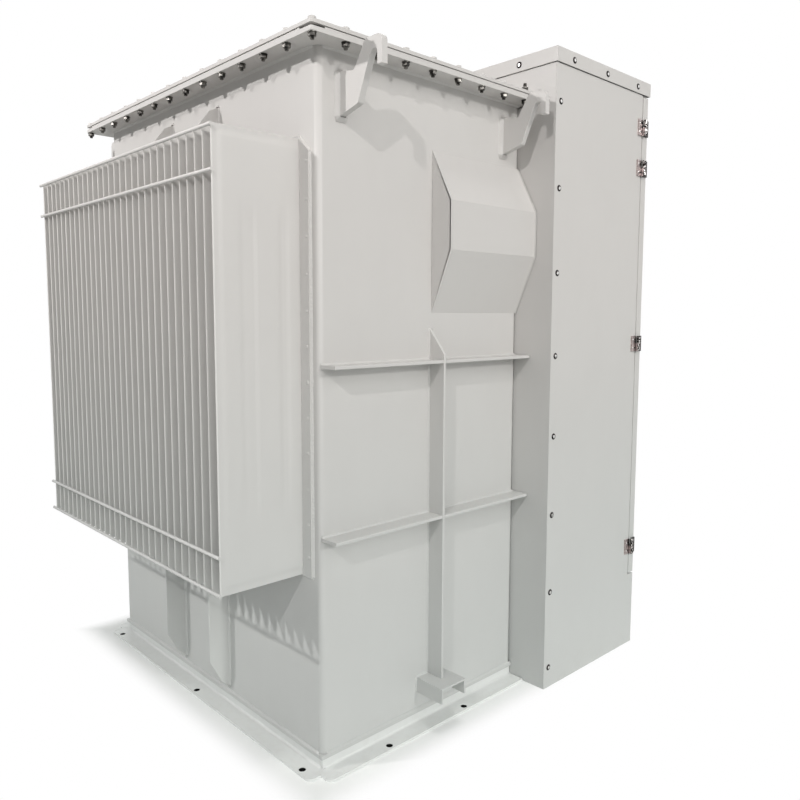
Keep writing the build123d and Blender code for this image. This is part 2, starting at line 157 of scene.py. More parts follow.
paintSet = {  # a grain is a noise's scale and detail
    "colour": (0.580, 0.568, 0.553),
    "baseColour": (0.775, 0.76, 0.742),
    "specular": 0.45,
    "roughness": 0.40,
    "roughRange": 0.10,
    "roughGrain": (60.0, 3.0),
    "peel": 0.00005,  # depth of the paint's orange peel
    "peelGrain": (420.0, 2.0),
    "wave": 0.0011,  # depth of the sheets' slow waves
    "waveGrain": (2.7, 1.0),
    "mottle": 0.985,  # the darker patches' share of the colour
    "mottleGrain": (3.1, 5.0),
    "mottleSpan": (0.32, 0.66),
    "runGrain": (21.0, 4.0),
    "runStretch": (1, 1, 0.3),
    "shares": (0.6, 0.4),  # of patches and of upright runs
    "dust": (0.47, 0.445, 0.41),
    "dustHeight": 0.16,
    "dustShare": 0.08,
    "dustRough": 0.3,
    "speckGrain": (46.0, 6.0),
    "speckSpan": (0.42, 0.72),
    "lightTintHeights": (0.05, 1.75),  # painted light tint: the paint is made cooler near the floor and warmer near the top
    "paintedCoolLight": (0.952, 1.0, 1.008),
    "paintedWarmLight": (1.008, 0.998, 0.996),
    "paintedRimLight": 1.16,  # painted highlight on the fins' outer edges, painted shade at their roots between the fins
    "paintedRootShade": 0.86,
    "rimLightDepth": 0.0135,  # depth of the painted highlight, from the fins' outer edge
    # where the painted shade between the fins begins and where it is full
    "rootShadeDepths": (0.010, 0.12),
    "rowMargin": 0.0005,
}


def paintFinish(name, colour, finRow=None):  # finRow: Y of the first and last fin's middle
    look = newFinish(name, Specular_IOR_Level=paintSet["specular"])
    sockets = {"Vector": look.place, "Scale": paintSet["runStretch"]}
    stretched = look.add("ShaderNodeMapping", None, sockets)
    patches = look.noise(look.place, *paintSet["mottleGrain"]) * paintSet["shares"][0]
    runs = look.noise(stretched, *paintSet["runGrain"]) * paintSet["shares"][1]
    share = look.span(patches + runs, *paintSet["mottleSpan"])
    clean = look.mix(share, tint(colour, paintSet["mottle"]), tint(colour))
    # Painted light on the fins: painted shade darkens them deep between the fins, towards their
    # roots, and a painted highlight lightens their outer edges
    if finRow:
        across, along = look.along(0), look.along(1)
        margin, outer = paintSet["rowMargin"], cadLow.x
        inside = (along > finRow[0] + margin) * (along < finRow[1] - margin)
        near, far = paintSet["rootShadeDepths"]
        deep = inside * look.span(across, outer + near, outer + far)
        clean = look.mix(deep, clean, tint(colour, paintSet["paintedRootShade"]))
        rim = across < outer + paintSet["rimLightDepth"]
        clean = look.mix(rim, clean, tint(colour, paintSet["paintedRimLight"]))
    height = look.along(2)
    low = 1 - look.span(height, 0.0, paintSet["dustHeight"])
    specks = look.span(look.noise(look.place, *paintSet["speckGrain"]), *paintSet["speckSpan"])
    dust = low * specks * paintSet["dustShare"]
    # Painted light tint by height: cooler near the floor, warmer near the top
    rise = look.span(height, *paintSet["lightTintHeights"])
    shift = look.mix(rise, tint(paintSet["paintedCoolLight"]), tint(paintSet["paintedWarmLight"]))
    clean = look.mix(1.0, clean, shift, "MULTIPLY")
    look.feed("Base Color", look.mix(dust, clean, tint(paintSet["dust"])))
    gloss = paintSet["roughness"]
    gloss += paintSet["roughRange"] * look.noise(look.place, *paintSet["roughGrain"])
    look.feed("Roughness", gloss + dust * paintSet["dustRough"])
    peel = look.noise(look.place, *paintSet["peelGrain"]) * paintSet["peel"]
    wave = look.noise(look.place, *paintSet["waveGrain"]) * paintSet["wave"]
    look.feedBump(peel + wave, 1.0)
    return look.owner


# Bright and dark colour, roughness, grain, softness of the patches and share of dark ones
metalSet = {
    "boltZinc": ((0.23, 0.22, 0.205), (0.05, 0.048, 0.045), 0.30, 70.0, 0.12, 0.50),
    "domeSteel": ((0.88, 0.87, 0.85), (0.23, 0.22, 0.205), 0.16, 90.0, 0.12, 0.40),
    "hingeSteel": ((0.62, 0.54, 0.53), (0.40, 0.34, 0.33), 0.20, 160.0, 0.12, 0.50),
    # near-black steel: painted dark reflection on the door's hinge wings and the domes' skirts,
    # painted shade in the fixed leaves' strips
    "darkShadeAndReflectionSteel": ((0.07, 0.06, 0.06), (0.012, 0.010, 0.010), 0.22, 130.0, 0.12, 0.50),
    # near-white and near-black patches paint glints and dark reflections onto the hinge sleeves
    "sleeveGlintSteel": ((0.90, 0.86, 0.84), (0.012, 0.010, 0.010), 0.15, 210.0, 0.05, 0.56),
}
scratchSet = {"finer": 4, "details": (4.0, 3.0), "roughRange": 0.18, "deep": 0.0001}


def metalFinish(name):
    bright, dark, roughness, grain, edge, middle = metalSet[name]
    look = newFinish(name, Metallic=1.0)
    detail, fineDetail = scratchSet["details"]
    patches = look.span(look.noise(look.place, grain, detail), middle - edge, middle + edge)
    look.feed("Base Color", look.mix(patches, tint(dark), tint(bright)))
    fine = look.noise(look.place, grain * scratchSet["finer"], fineDetail)
    look.feed("Roughness", roughness + scratchSet["roughRange"] * fine)
    look.feedBump(fine, scratchSet["deep"])
    return look.owner


rubberSet = {
    "dark": (0.012, 0.012, 0.012),
    "light": (0.03, 0.029, 0.028),
    "specular": 0.3,
    "grain": (300.0, 4.0),
    "roughness": 0.7,
    "roughRange": 0.2,
    "deep": 0.0003,
}


def rubberFinish(name):
    look = newFinish(name, Specular_IOR_Level=rubberSet["specular"])
    grain = look.noise(look.place, *rubberSet["grain"])
    look.feed("Base Color", look.mix(grain, tint(rubberSet["dark"]), tint(rubberSet["light"])))
    look.feed("Roughness", rubberSet["roughness"] + grain * rubberSet["roughRange"])
    look.feedBump(grain, rubberSet["deep"])
    return look.owner


tankPaint = paintFinish("tankPaint", paintSet["colour"])
basePaint = paintFinish("basePaint", paintSet["baseColour"])
gasketRubber = rubberFinish("gasketRubber")
boltZinc, domeSteel, hingeSteel, darkShadeAndReflectionSteel, sleeveGlintSteel = map(metalFinish, metalSet)
print("finishes")

# Solids that stay get their finish and softly rounded edges
edgeSet = {"plate": 0.0018, "sheet": 0.0010, "angle": 38, "steps": 2, "weld": 0.00002}
sheetNodes = ("cabinet", "door", "hinge", "jacking", "cable")
sharpNodes = ("radiator_fins", "cover_gasket")


def roundEdges(holder, width, angle):
    weld = holder.modifiers.new("weld", "WELD")
    weld.merge_threshold = edgeSet["weld"]
    bevel = holder.modifiers.new("edges", "BEVEL")
    bevel.width = width
    bevel.segments = edgeSet["steps"]
    bevel.limit_method = "ANGLE"
    bevel.angle_limit = math.radians(angle)
    bevel.harden_normals = True


finishOf = {
    "tank_paint": tankPaint,
    "base_paint": basePaint,
    "gasket_rubber": gasketRubber,
    "hinge_steel": hingeSteel,
}
for part in frame["record"]["subparts"]:
    node = nodes[part["node"]]
    node.data.materials.clear()
    node.data.materials.append(finishOf[part["material_slot"]])
    if part["node"] not in sharpNodes:
        kind = "sheet" if part["node"].startswith(sheetNodes) else "plate"
        roundEdges(node, edgeSet[kind], edgeSet["angle"])
print("solids dressed")


def newPiece(name, shape, finish, body=mainBody, stands=(), smooth=35):
    mesh = bpy.data.meshes.new(name)
    bmesh.ops.recalc_face_normals(shape, faces=shape.faces)
    shape.to_mesh(mesh)
    shape.free()
    mesh.materials.append(finish)
    mesh.shade_smooth()
    mesh.set_sharp_from_angle(angle=math.radians(smooth))
    holder = bpy.data.objects.new(name, mesh)
    bpy.context.scene.collection.objects.link(holder)
    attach(holder, body)
    if stands:
        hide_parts(*stands)
    return holder


def addPrism(shape, outline, push):  # a closed outline of points, pushed along push
    first = [shape.verts.new(p) for p in outline]
    last = [shape.verts.new(Vector(p) + Vector(push)) for p in outline]
    shape.faces.new(first[::-1])
    shape.faces.new(last)
    for k in range(len(first)):
        j = (k + 1) % len(first)
        shape.faces.new((first[k], first[j], last[j], last[k]))


def addTurned(shape, foot, axis, profile, steps, turn=0.0):  # profile: (radius, height)
    axis = Vector(axis).normalized()
    side = Vector((0, 0, 1)).cross(axis) if abs(axis.z) < 0.9 else Vector((1, 0, 0))
    side.normalize()
    up = axis.cross(side)
    rings = []
    for radius, height in profile:
        ring = []
        for k in range(steps):
            a = math.tau * k / steps + turn
            out = side * math.cos(a) + up * math.sin(a)
            ring.append(shape.verts.new(Vector(foot) + axis * height + out * radius))
        rings.append(ring)
    for one, two in zip(rings, rings[1:]):
        for k in range(steps):
            j = (k + 1) % steps
            shape.faces.new((one[k], one[j], two[j], two[k]))
    shape.faces.new(rings[0][::-1])
    shape.faces.new(rings[-1])


weldSet = {
    "pitch": 0.0036,  # of the ripples
    "ripple": 0.5,
    "beat": 1.9,
    "swell": 0.13,
    "crown": 0.64,
    "taper": 0.35,  # size of a bead's two ends
}


# Fillet weld in the corner of two faces; sideOne and sideTwo run along them from the corner
def addWeld(shape, start, end, sideOne, sideTwo, leg, swell=1.0):
    start, end = Vector(start), Vector(end)
    sideOne, sideTwo = Vector(sideOne), Vector(sideTwo)
    count = max(3, int((end - start).length / weldSet["pitch"]))
    most = weldSet["ripple"]
    rings = []
    for k in range(count + 1):
        ripple = most * math.sin(k * weldSet["beat"]) + seeded.uniform(-most, most)
        size = leg * (1 + weldSet["swell"] * swell * ripple)
        if k in (0, count):
            size *= weldSet["taper"]
        centre = start.lerp(end, k / count)
        crown = (sideOne + sideTwo) * weldSet["crown"]
        offsets = (Vector((0, 0, 0)), sideOne, crown, sideTwo)
        rings.append([shape.verts.new(centre + o * size) for o in offsets])
    for one, two in zip(rings, rings[1:]):
        for k in range(4):
            j = (k + 1) % 4
            shape.faces.new((one[k], one[j], two[j], two[k]))
    shape.faces.new(rings[0][::-1])
    shape.faces.new(rings[-1])


wallLow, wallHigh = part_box("tank_wall")
flangeLow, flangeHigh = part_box("tank_flange")
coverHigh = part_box("cover_plate")[1]
ledgeLow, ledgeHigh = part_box("tank_bottom")
hatLow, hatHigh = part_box("cabinet_hat")
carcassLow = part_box("cabinet_side_front")[0]
cabinetHalf = -carcassLow.y
plateLow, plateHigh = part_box("radiator_fins")
hoodLow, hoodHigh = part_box("cable_hood")

# Radiator: pressed fins with pinched edges on a back plate with cut-off upper corners
finSet = {
    "pitch": 0.0435,
    "count": 30,
    "first": 0.046,  # from the plate's edge to the first fin's middle
    "plate": 0.008,
    "plateCut": 0.045,
    "rise": 0.003,  # fins above the plate's lower edge
    "drop": 0.008,  # fins below its upper edge
    "seam": 0.012,
    "seamHalf": 0.0018,
    "shoulder": 0.020,
    "half": 0.0042,
    "corner": 0.030,
    "ribs": ((0.080, 0.127), (0.203, 0.233)),  # from the fin's outer edge
    "ribDeep": 0.0018,
    "ribEnds": 0.215,
    "ribEdge": (1.15, 0.35),  # reach and softness of a rib's side
    "cornerShare": 0.3,
    "rim": (0.0006, 0.45),  # width of the rounded rim, its share of the thickness
    "near": (0.0, 0.0012, 0.007, 0.012, 0.016, 0.020, 0.024, 0.028, 0.032),  # grid at the edges
    "steps": (40, 34),
}


def smooth(value):
    value = min(1.0, max(0.0, value))
    return value * value * (3 - 2 * value)


def finHalf(across, below, above):  # half the fin's thickness at a point inside its outline
    corner = finSet["corner"]
    tall = min(below, above)
    if across < corner and tall < corner:
        inside = corner - math.hypot(corner - across, corner - tall)
        inside = max(inside, min(across, tall) * finSet["cornerShare"])
    else:
        inside = min(across, tall)
    rise = smooth((inside - finSet["seam"]) / finSet["shoulder"])
    half = finSet["seamHalf"] + (finSet["half"] - finSet["seamHalf"]) * rise
    rim, rimShare = finSet["rim"]
    if min(across, below, above) < rim:
        half *= rimShare
    dip = 0.0
    reachMost, soft = finSet["ribEdge"]
    for near, far in finSet["ribs"]:
        mid, width = (near + far) / 2, (far - near) / 2
        run = max(0.0, finSet["ribEnds"] + width - tall)
        reach = math.hypot(across - mid, run) / width
        dip = max(dip, smooth((reachMost - reach) / soft))
    return half - finSet["ribDeep"] * dip


def finGrid(size, edges, steps):  # positions from 0 to size, close together at the edges
    near = list(finSet["near"])
    far = [size - v for v in reversed(near)] if edges == 2 else [size]
    inner = size - near[-1] - (near[-1] if edges == 2 else 0)
    return near + [near[-1] + inner * k / steps for k in range(1, steps)] + far


def makeRadiator():
    shape = bmesh.new()
    outer, inner = plateLow.x, plateHigh.x - finSet["plate"] / 2
    finLow, finHigh = plateLow.z + finSet["rise"], plateHigh.z - finSet["drop"]
    acrosses = finGrid(inner - outer, 1, finSet["steps"][0])
    heights = finGrid(finHigh - finLow, 2, finSet["steps"][1])
    firstY = plateLow.y + finSet["first"]
    lastY = firstY + (finSet["count"] - 1) * finSet["pitch"]
    finPaintWithPaintedShade = paintFinish("finPaintWithPaintedShade", paintSet["colour"], (firstY, lastY))
    lastRow, lastColumn = len(heights) - 1, len(acrosses) - 1
    for n in range(finSet["count"]):
        y = firstY + n * finSet["pitch"]
        skins = []
        for sign in (-1, 1):
            rows = []
            for h in heights:
                row = []
                for a in acrosses:
                    half = finHalf(a, h, finHigh - finLow - h)
                    row.append(shape.verts.new((outer + a, y + sign * half, finLow + h)))
                rows.append(row)
            skins.append(rows)
            for low, high in zip(rows, rows[1:]):
                for c in range(lastColumn):
                    shape.faces.new((low[c], low[c + 1], high[c + 1], high[c]))
        one, two = skins
        for r in range(lastRow):
            for c in (0, lastColumn):
                shape.faces.new((one[r][c], one[r + 1][c], two[r + 1][c], two[r][c]))
        for c in range(lastColumn):
            for r in (0, lastRow):
                shape.faces.new((one[r][c], one[r][c + 1], two[r][c + 1], two[r][c]))
    cut = finSet["plateCut"]
    near, far = plateLow.y, plateHigh.y
    x = plateHigh.x - finSet["plate"]
    outline = [
        (x, near, plateLow.z),
        (x, far, plateLow.z),
        (x, far, plateHigh.z),
        (x, near + cut, plateHigh.z),
        (x, near, plateHigh.z - cut),
    ]
    addPrism(shape, outline, (finSet["plate"], 0, 0))
    newPiece("radiatorPanels", shape, finPaintWithPaintedShade, stands=["radiator_fins"])


makeRadiator()
print("radiator")

# Cover bolts: head and washer on the cover, washer, nut and stud end under the flange
boltSet = {
    "line": 0.061,  # outside the tank wall
    "alongX": 10,
    "alongY": 14,
    "shank": 0.006,
    "flats": 0.0095,  # half the width over flats
    "head": 0.0066,
    "headWasher": (0.0116, 0.0014),
    "nut": 0.0100,
    "washer": (0.0122, 0.0024),
    "tail": 0.0070,
    "tall": 0.0150,  # how far the stud beside the far hook stands up
    "hexCut": 0.14,  # height of a hexagon's chamfers, and the share of its corners they leave
    "hexRims": (0.93, 0.90),
    "washerRim": 0.25,
    "washerSteps": 24,
    "thread": 0.00175,
    "threadPlaces": (0.25, 0.75),
    "threadRoot": 0.87,
    "tip": 0.8,
    "studSteps": 12,
    "digits": 5,  # places rounded so that a corner's bolt is counted once
}


def addHex(shape, foot, axis, half, height, turn):
    corner = half / math.cos(math.pi / 6)
    cut = height * boltSet["hexCut"]
    low, high = [corner * rim for rim in boltSet["hexRims"]]
    profile = [(low, 0), (corner, cut), (corner, height - cut), (high, height)]
    addTurned(shape, foot, axis, profile, 6, turn)


def addWasher(shape, foot, axis, radius, thick):
    rim = thick * boltSet["washerRim"]
    profile = [(radius - rim, 0), (radius, rim), (radius, thick - rim), (radius - rim, thick)]
    addTurned(shape, foot, axis, profile, boltSet["washerSteps"])


def addStud(shape, foot, axis, tail):  # threaded end
    shank = boltSet["shank"]
    root = shank * boltSet["threadRoot"]
    crestPlace, rootPlace = boltSet["threadPlaces"]
    profile = [(shank, 0.0)]
    turns = int(tail / boltSet["thread"])
    for k in range(turns):
        profile.append((shank, (k + crestPlace) * tail / turns))
        profile.append((root, (k + rootPlace) * tail / turns))
    profile.append((shank * boltSet["tip"], tail))
    addTurned(shape, foot, axis, profile, boltSet["studSteps"])


def addNut(shape, foot, axis, height, washer):
    radius, thick = washer
    addWasher(shape, foot, axis, radius, thick)
    raised = Vector(foot) + Vector(axis) * thick
    addHex(shape, raised, axis, boltSet["flats"], height, seeded.uniform(0, 1))


def makeCoverBolts():
    heads, nuts = bmesh.new(), bmesh.new()
    line, digits = boltSet["line"], boltSet["digits"]
    x0, y0 = round(wallLow.x - line, digits), round(wallLow.y - line, digits)
    x1, y1 = round(wallHigh.x + line, digits), round(wallHigh.y + line, digits)
    places = set()
    for k in range(boltSet["alongX"]):
        x = round(x0 + (x1 - x0) * k / (boltSet["alongX"] - 1), digits)
        places |= {(x, y0), (x, y1)}
        if k == boltSet["alongX"] - 2:
            tallX = x
    for k in range(boltSet["alongY"]):
        y = round(y0 + (y1 - y0) * k / (boltSet["alongY"] - 1), digits)
        places |= {(x0, y), (x1, y)}
    print("cover bolts:", len(places))
    for x, y in sorted(places):
        top, under = (x, y, coverHigh.z), (x, y, flangeLow.z)
        if x == tallX and y == y0:  # earthing stud with a nut of its own
            addNut(nuts, top, (0, 0, 1), boltSet["nut"], boltSet["washer"])
            addStud(nuts, top, (0, 0, 1), boltSet["nut"] + boltSet["tall"])
        else:
            addNut(heads, top, (0, 0, 1), boltSet["head"], boltSet["headWasher"])
        addNut(nuts, under, (0, 0, -1), boltSet["nut"], boltSet["washer"])
        tail = boltSet["washer"][1] + boltSet["nut"] + boltSet["tail"]
        addStud(nuts, under, (0, 0, -1), tail)
    newPiece("coverBoltHeads", heads, tankPaint, smooth=30)
    newPiece("coverBoltNuts", nuts, boltZinc, smooth=30)


# Flat stops between flange and cover, one along each side, short of the corners
stopSet = {
    "low": 0.0004,
    "high": 0.0056,
    "behind": 0.0015,
    "wide": 0.0085,
    "endX": 0.0465,
    "endY": 0.0527,
    "edge": (0.0008, 40),
}


def makeStops():
    shape = bmesh.new()
    z0, rise = flangeHigh.z + stopSet["low"], stopSet["high"] - stopSet["low"]
    behind, wide = stopSet["behind"], stopSet["wide"]
    for side in (0, 1):
        edge = (flangeLow.y + behind, flangeHigh.y - behind - wide)[side]
        x0, x1 = flangeLow.x + stopSet["endX"], flangeHigh.x - stopSet["endX"]
        outline = [(x0, edge, z0), (x1, edge, z0), (x1, edge + wide, z0), (x0, edge + wide, z0)]
        addPrism(shape, outline, (0, 0, rise))
        edge = (flangeLow.x + behind, flangeHigh.x - behind - wide)[side]
        y0, y1 = flangeLow.y + stopSet["endY"], flangeHigh.y - stopSet["endY"]
        outline = [(edge, y0, z0), (edge + wide, y0, z0), (edge + wide, y1, z0), (edge, y1, z0)]
        addPrism(shape, outline, (0, 0, rise))
    holder = newPiece("coverStops", shape, tankPaint)
    roundEdges(holder, *stopSet["edge"])


# Dome-headed bolts of the cabinet's panels and hat
domeSet = {
    "levels": (0.075, 0.356, 0.639, 0.921, 1.204, 1.490, 1.776, 2.063),
    "sideX": 0.307,
    "hatX": (0.373, 0.583, 0.796),
    "hatZ": 2.209,
    "hatY": 0.680,
    "radius": 0.0098,
    "height": 0.0022,
    "crown": 0.36,  # share of the dome's arc with the bright finish, a painted highlight; the rest is a painted dark reflection
    "rise": 0.0001,
    "rings": (4, 5),  # of skirt and crown
    "steps": 20,
    "washer": (0.0112, 0.0004),
}


# Painted reflection: the bright crown is a painted highlight, the near-black skirt a painted dark
# reflection
def addDome(highlightCrowns, darkReflectionRims, washers, foot, axis):
    radius, height = domeSet["radius"], domeSet["height"]
    addWasher(washers, foot, axis, *domeSet["washer"])
    foot = Vector(foot) + Vector(axis) * domeSet["washer"][1]
    turn = math.pi / 2 * (1 - domeSet["crown"])
    low, high = domeSet["rings"]
    skirt = [turn * k / low for k in range(low + 1)]
    crown = [turn + (math.pi / 2 - turn) * k / high for k in range(high)]
    for shape, arc, rise in ((darkReflectionRims, skirt, 0.0), (highlightCrowns, crown, domeSet["rise"])):
        profile = [(radius * math.cos(a), height * math.sin(a) + rise) for a in arc]
        addTurned(shape, foot, axis, profile, domeSet["steps"])


def makeDomes():
    highlightCrowns, darkReflectionRims, washers = bmesh.new(), bmesh.new(), bmesh.new()
    for side in (-1, 1):
        out = (0, side, 0)
        face = side * cabinetHalf
        for z in domeSet["levels"]:
            addDome(highlightCrowns, darkReflectionRims, washers, (domeSet["sideX"], face, z), out)
        for x in domeSet["hatX"]:
            addDome(highlightCrowns, darkReflectionRims, washers, (x, side * hatHigh.y, domeSet["hatZ"]), out)
        foot = (hatLow.x, side * domeSet["hatY"], domeSet["hatZ"])
        addDome(highlightCrowns, darkReflectionRims, washers, foot, (-1, 0, 0))
    newPiece("cabinetBoltHighlights", highlightCrowns, domeSteel, smooth=40)
    newPiece("cabinetBoltDarkReflections", darkReflectionRims, darkShadeAndReflectionSteel, smooth=40)
    newPiece("cabinetBoltWashers", washers, gasketRubber, smooth=40)


# Painted shade: a dark strip under the hat's skirt stands in for the shaded gap between the skirt
# and the carcass
hatShadeSet = {"tall": 0.0006, "proud": 0.0022, "sunk": 0.0004, "short": 0.008}


def makeHatGapShade():
    shape = bmesh.new()
    rise, proud, sunk = hatShadeSet["tall"], hatShadeSet["proud"], hatShadeSet["sunk"]
    z = hatLow.z - rise
    near, far = carcassLow.x, hatHigh.x - hatShadeSet["short"]
    for side in (-1, 1):
        y0, y1 = side * (cabinetHalf - sunk), side * (cabinetHalf + proud)
        addPrism(shape, [(near, y0, z), (far, y0, z), (far, y1, z), (near, y1, z)], (0, 0, rise))
    x0, x1, y = near - proud, near + sunk, cabinetHalf + proud
    addPrism(shape, [(x0, -y, z), (x1, -y, z), (x1, y, z), (x0, y, z)], (0, 0, rise))
    newPiece("hatGapShade", shape, gasketRubber)


makeCoverBolts()
makeStops()
makeDomes()
makeHatGapShade()
print("bolts and stops")

# Weld beads, painted over
beadSet = {
    "plate": 0.0055,
    "bar": 0.0050,
    "hook": 0.0125,
    "hookTop": 0.0075,
    "ledge": 0.0050,
    "flange": 0.0060,
    "rib": 0.0050,
    "ribEnd": 0.0080,
    "ribWrap": 0.0035,  # how far an end bead runs past the rib's sides
    "smooth": 0.3,  # swell of beads that were ground
    "corner": 0.016,  # the tank's rounded corners
    "cabinetEnd": 0.001,
    "root": 0.123,  # height of a hook's welded root
    "rootDrop": 0.004,
    "rootWrap": 0.010,
}
# Spot-like bumps along the near margin of the radiator's plate
bumpSet = {
    "count": 12,
    "top": 1.7690,
    "pitch": 0.1029,
    "inset": 0.012,
    "size": 0.0058,
    "stray": 0.003,
    "sizes": (0.85, 1.15),
    "arc": (0, 0.4, 0.8, 1.2),
    "flat": 0.35,
    "steps": 12,
}
up, down, left, right = (0, 0, 1), (0, 0, -1), (-1, 0, 0), (1, 0, 0)


def weldSide(shape, side):  # one long face: ledge, flange, bars, post, pad and hooks
    word, out = words[side], (0, side, 0)
    wall, leg, soft = side * wallHigh.y, beadSet["bar"], beadSet["smooth"]
    x0, x1 = wallLow.x + beadSet["corner"], wallHigh.x - beadSet["cabinetEnd"]
    addWeld(shape, (x0, wall, ledgeHigh.z), (x1, wall, ledgeHigh.z), up, out, beadSet["ledge"])
    addWeld(shape, (x0, wall, flangeLow.z), (x1, wall, flangeLow.z), down, out, beadSet["flange"])
    for level in ("upper", "lower"):
        low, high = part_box(f"stiffener_{word}_{level}")
        for z, way in ((high.z, up), (low.z, down)):
            addWeld(shape, (low.x, wall, z), (high.x, wall, z), way, out, leg)
    low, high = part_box(f"stiffener_{word}_post")
    stops = [low.z]
    for level in ("lower", "upper"):
        barLow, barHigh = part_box(f"stiffener_{word}_{level}")
        stops += [barLow.z, barHigh.z]
    stops.append(high.z)
    for z0, z1 in zip(stops[::2], stops[1::2]):
        for x, way in ((low.x, left), (high.x, right)):
            addWeld(shape, (x, wall, z0), (x, wall, z1), way, out, leg)
    low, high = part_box(f"jacking_pad_{word}")
    addWeld(shape, (low.x, wall, high.z), (high.x, wall, high.z), up, out, leg)
    for x, way in ((low.x, left), (high.x, right)):
        addWeld(shape, (x, wall, low.z), (x, wall, high.z), way, out, leg)
    for end in ("radiator_end", "cabinet_end"):
        low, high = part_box(f"hook_{word}_{end}")
        foot, root = low.z - beadSet["rootDrop"], low.z + beadSet["root"]
        for x, way in ((low.x, left), (high.x, right)):
            addWeld(shape, (x, wall, foot), (x, wall, root), way, out, beadSet["hook"], soft)
        x0, x1, z = low.x - beadSet["rootWrap"], high.x + beadSet["rootWrap"], low.z
        addWeld(shape, (x0, wall, z), (x1, wall, z), down, out, beadSet["hook"], soft)
        addWeld(shape, (low.x, wall, root), (high.x, wall, root), up, out, beadSet["hookTop"])


def weldRadiatorEnd(shape):  # ledge, flange, ribs and the radiator's plate
    y0, y1 = wallLow.y + beadSet["corner"], wallHigh.y - beadSet["corner"]
    x = wallLow.x
    addWeld(shape, (x, y0, ledgeHigh.z), (x, y1, ledgeHigh.z), up, left, beadSet["ledge"])
    addWeld(shape, (x, y0, flangeLow.z), (x, y1, flangeLow.z), down, left, beadSet["flange"])
    for side in (-1, 1):
        for level in ("lower", "upper"):
            low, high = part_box(f"rib_{words[side]}_{level}")
            for y, way in ((low.y, (0, -1, 0)), (high.y, (0, 1, 0))):
                addWeld(shape, (x, y, low.z), (x, y, high.z), way, left, beadSet["rib"])
            z, way = (low.z, down) if level == "lower" else (high.z, up)
            ends = (x, low.y - beadSet["ribWrap"], z), (x, high.y + beadSet["ribWrap"], z)
            addWeld(shape, *ends, way, left, beadSet["ribEnd"], beadSet["smooth"])
    leg, cut = beadSet["plate"], finSet["plateCut"]
    near, far, high = plateLow.y, plateHigh.y, plateHigh.z
    addWeld(shape, (x, near, plateLow.z), (x, far, plateLow.z), down, left, leg)
    addWeld(shape, (x, near + cut, high), (x, far, high), up, left, leg)
    addWeld(shape, (x, near, plateLow.z), (x, near, high - cut), (0, -1, 0), left, leg)
    addWeld(shape, (x, far, plateLow.z), (x, far, high), (0, 1, 0), left, leg)
    for k in range(bumpSet["count"]):
        z = bumpSet["top"] - k * bumpSet["pitch"]
        z += seeded.uniform(-bumpSet["stray"], bumpSet["stray"])
        foot = (plateHigh.x - finSet["plate"], near + bumpSet["inset"], z)
        size = bumpSet["size"] * seeded.uniform(*bumpSet["sizes"])
        flat = bumpSet["flat"]
        rings = [(math.cos(a) * size, math.sin(a) * size * flat) for a in bumpSet["arc"]]
        addTurned(shape, foot, left, rings, bumpSet["steps"])
    slant = Vector((0, -1, 1)).normalized()
    addWeld(shape, (x, near, high - cut), (x, near + cut, high), slant, left, leg)


def makeWelds():
    shape = bmesh.new()
    for side in (-1, 1):
        weldSide(shape, side)
    weldRadiatorEnd(shape)
    newPiece("weldBeads", shape, tankPaint, smooth=75)


makeWelds()
print("welds")

# Hood: its end plates stand a little proud of the bent sheet
hoodSet = {
    "proud": 0.0025,
    "thick": 0.0040,
    "slopes": (0.158, 0.309),  # heights of its two bends below its top
    "bendProud": 0.0015,
    "band": 0.005,  # depth of the band along the plate's edge
    "edge": (0.0009, 30),
}


def makeHoodEnds():
    shape = bmesh.new()
    proud, thick = hoodSet["proud"], hoodSet["thick"]
    high, low = [hoodHigh.z - drop for drop in hoodSet["slopes"]]
    out, wall, band, bend = hoodLow.y, hoodHigh.y, hoodSet["band"], hoodSet["bendProud"]
    outline = [
        (wall, hoodHigh.z + proud),
        (out - proud, high + bend),
        (out - proud, low - bend),
        (wall, hoodLow.z - proud),
        (wall, hoodLow.z + band),
        (out + band, low + proud),
        (out + band, high - proud),
        (wall, hoodHigh.z - band),
    ]
    for x in (hoodLow.x, hoodHigh.x - thick):
        near = [shape.verts.new((x, y, z)) for y, z in outline]
        far = [shape.verts.new((x + thick, y, z)) for y, z in outline]
        last = len(outline)
        for k in range(last):
            j = (k + 1) % last
            shape.faces.new((near[k], near[j], far[j], far[k]))
        for ring in (near, far):  # the band in three straight lengths
            for k in range(3):
                shape.faces.new((ring[k], ring[k + 1], ring[last - 2 - k], ring[last - 1 - k]))
    holder = newPiece("hoodEndPlates", shape, tankPaint)
    roundEdges(holder, *hoodSet["edge"])


makeHoodEnds()
print("hood")

# Hinges: steel wings and sleeves over the moulded halves, with button-headed screws; a dark strip
# on each fixed leaf is painted shade
leafBody = {-1: "front_door_leaf", 1: "rear_door_leaf"}
hingeSet = {
    "count": 4,  # on each side
    "pin": (0.846, 0.848),
    "sleeve": 0.0069,
    "wingX": (0.0077, 0.0354),  # from the pin line
    "face": 0.0062,  # wing's outer face, outside the cabinet's side
    "proud": 0.0002,
    "screwX": 0.0085,  # from a fixed leaf's two ends
    "screwZ": 0.016,
    "screw": (0.0036, 0.0013),
    "split": 0.0004,
    "rim": 0.001,  # chamfer of a sleeve
    "gap": 0.0002,  # between the cabinet's side and a wing
    "fixedFace": 0.006,
    "shadeStrip": (0.0072, 0.0040),  # painted shade: dark strip on a fixed leaf where the recess beside the sleeve lies in shade; from the pin line, and its width
    "edge": (0.0006, 40),
    "steps": (24, 16),  # of a sleeve and of a screw
}


def addScrew(shape, foot, out):
    radius, height = hingeSet["screw"]
    profile = [(radius, 0), (radius, height * 0.4), (radius * 0.7, height)]
    profile.append((radius * 0.3, height * 1.05))
    addTurned(shape, foot, out, profile, hingeSet["steps"][1])


